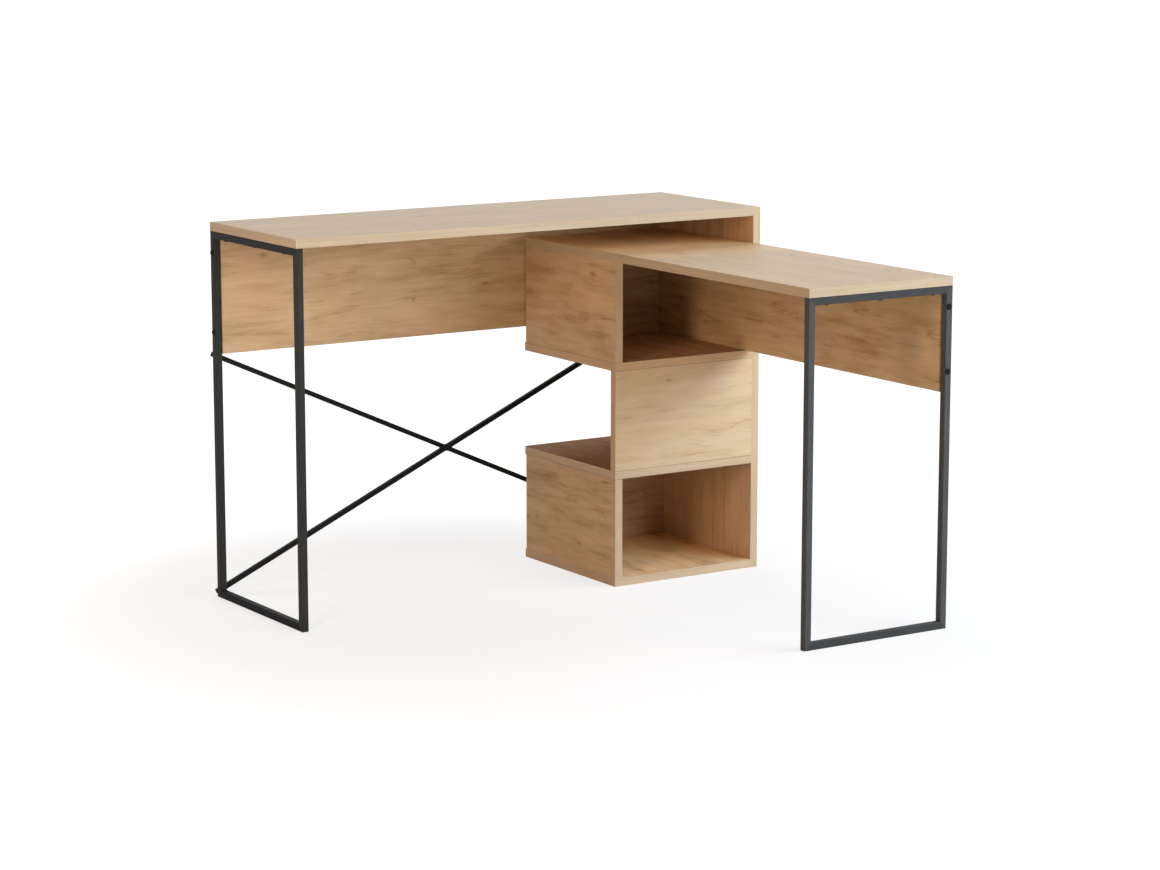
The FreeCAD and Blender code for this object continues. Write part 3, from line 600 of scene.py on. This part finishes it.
class StageSettings(bpy.types.PropertyGroup):
    """Camera, lamps and floor."""
    aim: bpy.props.FloatVectorProperty(
        name="Aim", description="Point that the camera looks at", size=3, unit="LENGTH",
        subtype="TRANSLATION", default=(-0.0269, -0.0577, 0.3724))
    reach: distance("Camera distance", "From the aim to the camera", 6.2)
    turn: angle("Camera turn", "How far the camera stands round to the left of the front", 32.869)
    tilt: angle("Camera height", "Angle of the camera above the floor", 10.178)
    lens: bpy.props.FloatProperty(name="Lens", description="Focal length", default=97.4,
                                  min=1.0, unit="CAMERA")
    left_power: power("Left power", "Power of the lamp at the left", 25.5)
    left_shade: shade("Left shade", "Shade of the lamp at the left", (1.0, 0.72, 0.51))
    left_reach: distance("Left distance", "How far off the lamp at the left stands", 2.6)
    left_turn: angle("Left turn", "How far round to the right the lamp at the left stands", -60.0)
    left_tilt: angle("Left height", "Angle of the lamp at the left above the floor", 20.0)
    left_wide: distance("Left width", "Width of the panel of the lamp at the left", 0.46)
    left_tall: distance("Left panel height", "Height of the panel of the lamp at the left", 1.5)
    front_power: power("Front power", "Power of the lamp at the front", 83.0)
    front_shade: shade("Front shade", "Shade of the lamp at the front", (1.0, 0.98, 0.87))
    front_reach: distance("Front distance", "How far off the lamp at the front stands", 4.5)
    front_turn: angle("Front turn", "How far round to the right the front lamp stands", 27.0)
    front_tilt: angle("Front height", "Angle of the lamp at the front above the floor", 18.0)
    front_wide: distance("Front width", "Width of the panel of the lamp at the front", 2.0)
    front_tall: distance("Front panel height", "Height of the panel of the lamp at the front", 2.0)
    side_power: power("Side power", "Power of the lamp at the right", 176.0)
    side_shade: shade("Side shade", "Shade of the lamp at the right", (0.65, 0.81, 1.0))
    side_reach: distance("Side distance", "How far off the lamp at the right stands", 4.5)
    side_turn: angle("Side turn", "How far round to the right the lamp at the right stands", 58.0)
    side_tilt: angle("Side height", "Angle of the lamp at the right above the floor", 22.5)
    side_wide: distance("Side width", "Width of the panel of the lamp at the right", 3.2)
    side_tall: distance("Side panel height", "Height of the panel of the lamp at the right", 2.4)
    back_power: power("Back power", "Power of the lamp behind", 78.0)
    back_shade: shade("Back shade", "Shade of the lamp behind", (1.0, 0.95, 0.97))
    back_reach: distance("Back distance", "How far off the lamp behind stands", 4.5)
    back_turn: angle("Back turn", "How far round to the right the lamp behind stands", 180.0)
    back_tilt: angle("Back height", "Angle of the lamp behind above the floor", 54.0)
    back_wide: distance("Back width", "Width of the panel of the lamp behind", 3.0)
    back_tall: distance("Back panel height", "Height of the panel of the lamp behind", 3.0)
    room_light: shade("Room light", "The room as it lights the desk", (0.04, 0.035, 0.03))
    floor_shade: shade("Floor", "The floor as it lights the desk", (0.84, 0.73, 0.60))
    floor_pale: shade("Pale floor", "The floor round the desk as it shows, with the desk's shadow",
                      (0.9, 0.9, 0.9))
    floor_white: amount("Floor white", "Share of the floor by the desk that shows as white", 0.62)
    floor_glow: amount("Floor glow", "Brightness of that white", 1.15, 0.0, 2.0)


class DeskSettings(bpy.types.PropertyGroup):
    """All settings of the corner desk."""
    boards: bpy.props.PointerProperty(type=BoardSettings)
    bands: bpy.props.PointerProperty(type=BandSettings)
    metal: bpy.props.PointerProperty(type=MetalSettings)
    fittings: bpy.props.PointerProperty(type=FittingSettings)
    welds: bpy.props.PointerProperty(type=WeldSettings)
    stage: bpy.props.PointerProperty(type=StageSettings)


# ---------------------------------------------------------------- operators
class DESK_OT_boards(bpy.types.Operator):
    """Finish every board in oak decor"""
    bl_idname = "corner_desk.boards"
    bl_label = "Boards"

    def execute(self, context):
        settings = context.scene.corner_desk.boards
        for name, board in BOARDS.items():
            coat([name], board_finish(name, board, settings))
        return {"FINISHED"}


class DESK_OT_bands(bpy.types.Operator):
    """Finish the edge bands"""
    bl_idname = "corner_desk.bands"
    bl_label = "Edge bands"

    def execute(self, context):
        settings = context.scene.corner_desk
        for name, board in BOARDS.items():
            if name + BAND in NODES:
                coat([name + BAND], band_finish(name, board, settings.boards, settings.bands))
        return {"FINISHED"}


class DESK_OT_metal(bpy.types.Operator):
    """Powder coat both frames and the brace"""
    bl_idname = "corner_desk.metal"
    bl_label = "Frames and brace"

    def execute(self, context):
        s = context.scene.corner_desk.metal
        # Each group's share is painted shade or light on its coat.
        for painted_shade_group, (share, nodes) in TUBES_WITH_PAINTED_SHADE.items():
            coat(nodes, powder_coat(s, painted_shade_group, share))
        return {"FINISHED"}


class DESK_OT_fittings(bpy.types.Operator):
    """Finish the screws, end plugs, cams, bolts and dowels"""
    bl_idname = "corner_desk.fittings"
    bl_label = "Fittings"

    def execute(self, context):
        s = context.scene.corner_desk.fittings
        coat(SCREWS, hardware_finish("blackened screw", s.screw_dark, s.screw_pale, 0.0006, 0.38,
                                     gloss=0.08))
        coat(PLUGS, hardware_finish("moulded plug", s.plug_dark, s.plug_pale, 0.0008, 0.55,
                                    gloss=0.08))
        coat(ZINC, hardware_finish("die-cast zinc", s.zinc_dark, s.zinc_pale, 0.0007, 0.4,
                                   metal=1.0))
        coat(BEECH, beech_finish(s))
        return {"FINISHED"}


class DESK_OT_welds(bpy.types.Operator):
    """Model the weld beads in the four corners where the brace's bars cross"""
    bl_idname = "corner_desk.welds"
    bl_label = "Brace welds"

    def execute(self, context):
        s = context.scene.corner_desk.welds
        low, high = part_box("brace_long_bar")
        middle = (low + high) / 2
        slope = math.atan2(high.z - low.z - s.tube, high.x - low.x - s.tube)
        beside = Vector((s.tube / 2 / math.sin(slope), 0, 0))
        above = Vector((0, 0, s.tube / 2 / math.cos(slope)))
        bead = weld_bead(middle, s.radius, s.tube * 0.8)
        beads = [copy_to(bead, way) for way in (beside, -beside, above, -above)]
        only(bead)
        bpy.ops.object.delete()
        only(*beads)
        bpy.ops.object.join()
        seams = context.object
        seams.name = "brace_weld_seams"
        seams.data.name = seams.name
        bpy.ops.object.origin_set(type="ORIGIN_CURSOR")
        bpy.ops.object.shade_smooth_by_angle(angle=math.radians(50))
        seams.data.materials.clear()
        seams.data.materials.append(NODES["brace_long_bar"].material_slots[0].material)
        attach(seams, "root")
        return {"FINISHED"}


class DESK_OT_stage(bpy.types.Operator):
    """Set up the floor, the lamps, the room and the camera"""
    bl_idname = "corner_desk.stage"
    bl_label = "Studio"

    def execute(self, context):
        s = context.scene.corner_desk.stage
        context.scene.view_settings.view_transform = "Standard"
        self.floor(s)
        self.room(context.scene, s)
        for side in LAMPS:
            self.lamp(f"{side} lamp", Vector(s.aim), *(getattr(s, f"{side}_{what}") for what in (
                "reach", "turn", "tilt", "wide", "tall", "power", "shade")))
        self.camera(context.scene, s)
        return {"FINISHED"}

    def floor(self, s):
        """A pale floor that keeps the desk's shadow near it and turns white further off."""
        only()
        bpy.ops.mesh.primitive_plane_add(size=FLOOR_SIZE, location=(0, 0, -FLOOR_DROP))
        floor = bpy.context.object
        floor.name = "floor"
        bpy.ops.object.transform_apply(location=True, rotation=True, scale=True)
        material = bpy.data.materials.new("pale floor")
        graph = Graph(material)
        place = graph.place()
        outward = place["X"] * place["X"] + place["Y"] * place["Y"]
        far = outward.rise(*FLOOR_FADE)
        seen = self.seen(graph)
        share = seen * (far * (1.0 - s.floor_white) + s.floor_white)
        colour = graph.blend(seen, s.floor_shade, s.floor_pale)
        matt = graph.node("ShaderNodeBsdfDiffuse", None, {"Color": colour})
        white = graph.node("ShaderNodeEmission", None, {"Color": opaque((1.0, 1.0, 1.0)),
                                                        "Strength": s.floor_glow})
        finish(graph, graph.node("ShaderNodeMixShader", None, {0: share, 1: matt, 2: white}))
        floor.data.materials.append(material)

    def room(self, scene, s):
        """A dim room that shows as white."""
        world = bpy.data.worlds.new("room")
        graph = Graph(world)
        colour = graph.blend(self.seen(graph), s.room_light, (1.0, 1.0, 1.0))
        finish(graph, graph.node("ShaderNodeBackground", None, {"Color": colour}), world=True)
        scene.world = world

    def camera(self, scene, s):
        """The camera, round to the left of the front."""
        bpy.ops.object.camera_add(
            location=Vector(s.aim) + self.way(-s.turn, s.tilt) * s.reach,
            rotation=(math.pi / 2 - s.tilt, 0.0, -s.turn))
        camera = bpy.context.object
        camera.name = "camera"
        camera.data.lens = s.lens
        scene.camera = camera

    @staticmethod
    def way(turn, tilt):
        """The direction round to the right of the front by turn and up by tilt."""
        return Vector((math.sin(turn) * math.cos(tilt), -math.cos(turn) * math.cos(tilt),
                       math.sin(tilt)))

    @classmethod
    def lamp(cls, name, aim, reach, turn, tilt, wide, tall, power, colour):
        """A panel that stands off the aim and shines back at it."""
        way = cls.way(turn, tilt)
        bpy.ops.object.light_add(type="AREA", location=aim + way * reach,
                                 rotation=way.to_track_quat("Z", "Y").to_euler())
        lamp = bpy.context.object
        lamp.name = name
        lamp.data.shape = "RECTANGLE"
        lamp.data.size = wide
        lamp.data.size_y = tall
        lamp.data.energy = power
        lamp.data.color = colour
        lamp.visible_camera = False
        lamp.visible_glossy = False         # gloss shows the pale room, never a lamp's panel

    @staticmethod
    def seen(graph):
        """1 for rays that show the backdrop to the camera, straight or in gloss or glass."""
        ray = graph.node("ShaderNodeLightPath")
        total = ray.out("Is Camera Ray") + ray.out("Is Glossy Ray")
        return graph.node("ShaderNodeMath", {"operation": "MAXIMUM", "use_clamp": True},
                          {0: total, 1: ray.out("Is Transmission Ray")})


OPERATORS = (DESK_OT_boards, DESK_OT_bands, DESK_OT_metal, DESK_OT_fittings, DESK_OT_welds,
             DESK_OT_stage)


class DESK_PT_panel(bpy.types.Panel):
    """The corner desk's steps and settings"""
    bl_idname = "DESK_PT_panel"
    bl_label = "Corner Desk"
    bl_space_type = "VIEW_3D"
    bl_region_type = "UI"
    bl_category = "Corner Desk"

    def draw(self, context):
        for step in OPERATORS:
            box = self.layout.box()
            box.operator(step.bl_idname)
            group = getattr(context.scene.corner_desk, step.bl_idname.split(".")[1])
            for name in group.__annotations__:
                box.prop(group, name)


CLASSES = (BoardSettings, BandSettings, MetalSettings, FittingSettings, WeldSettings,
           StageSettings, DeskSettings, *OPERATORS, DESK_PT_panel)


def register():
    for kind in CLASSES:
        bpy.utils.register_class(kind)
    bpy.types.Scene.corner_desk = bpy.props.PointerProperty(type=DeskSettings)


def unregister():
    del bpy.types.Scene.corner_desk
    for kind in reversed(CLASSES):
        bpy.utils.unregister_class(kind)


def main():
    register()
    bpy.ops.corner_desk.boards()
    bpy.ops.corner_desk.bands()
    bpy.ops.corner_desk.metal()
    bpy.ops.corner_desk.fittings()
    bpy.ops.corner_desk.welds()
    bpy.ops.corner_desk.stage()


if __name__ == "__main__":
    main()
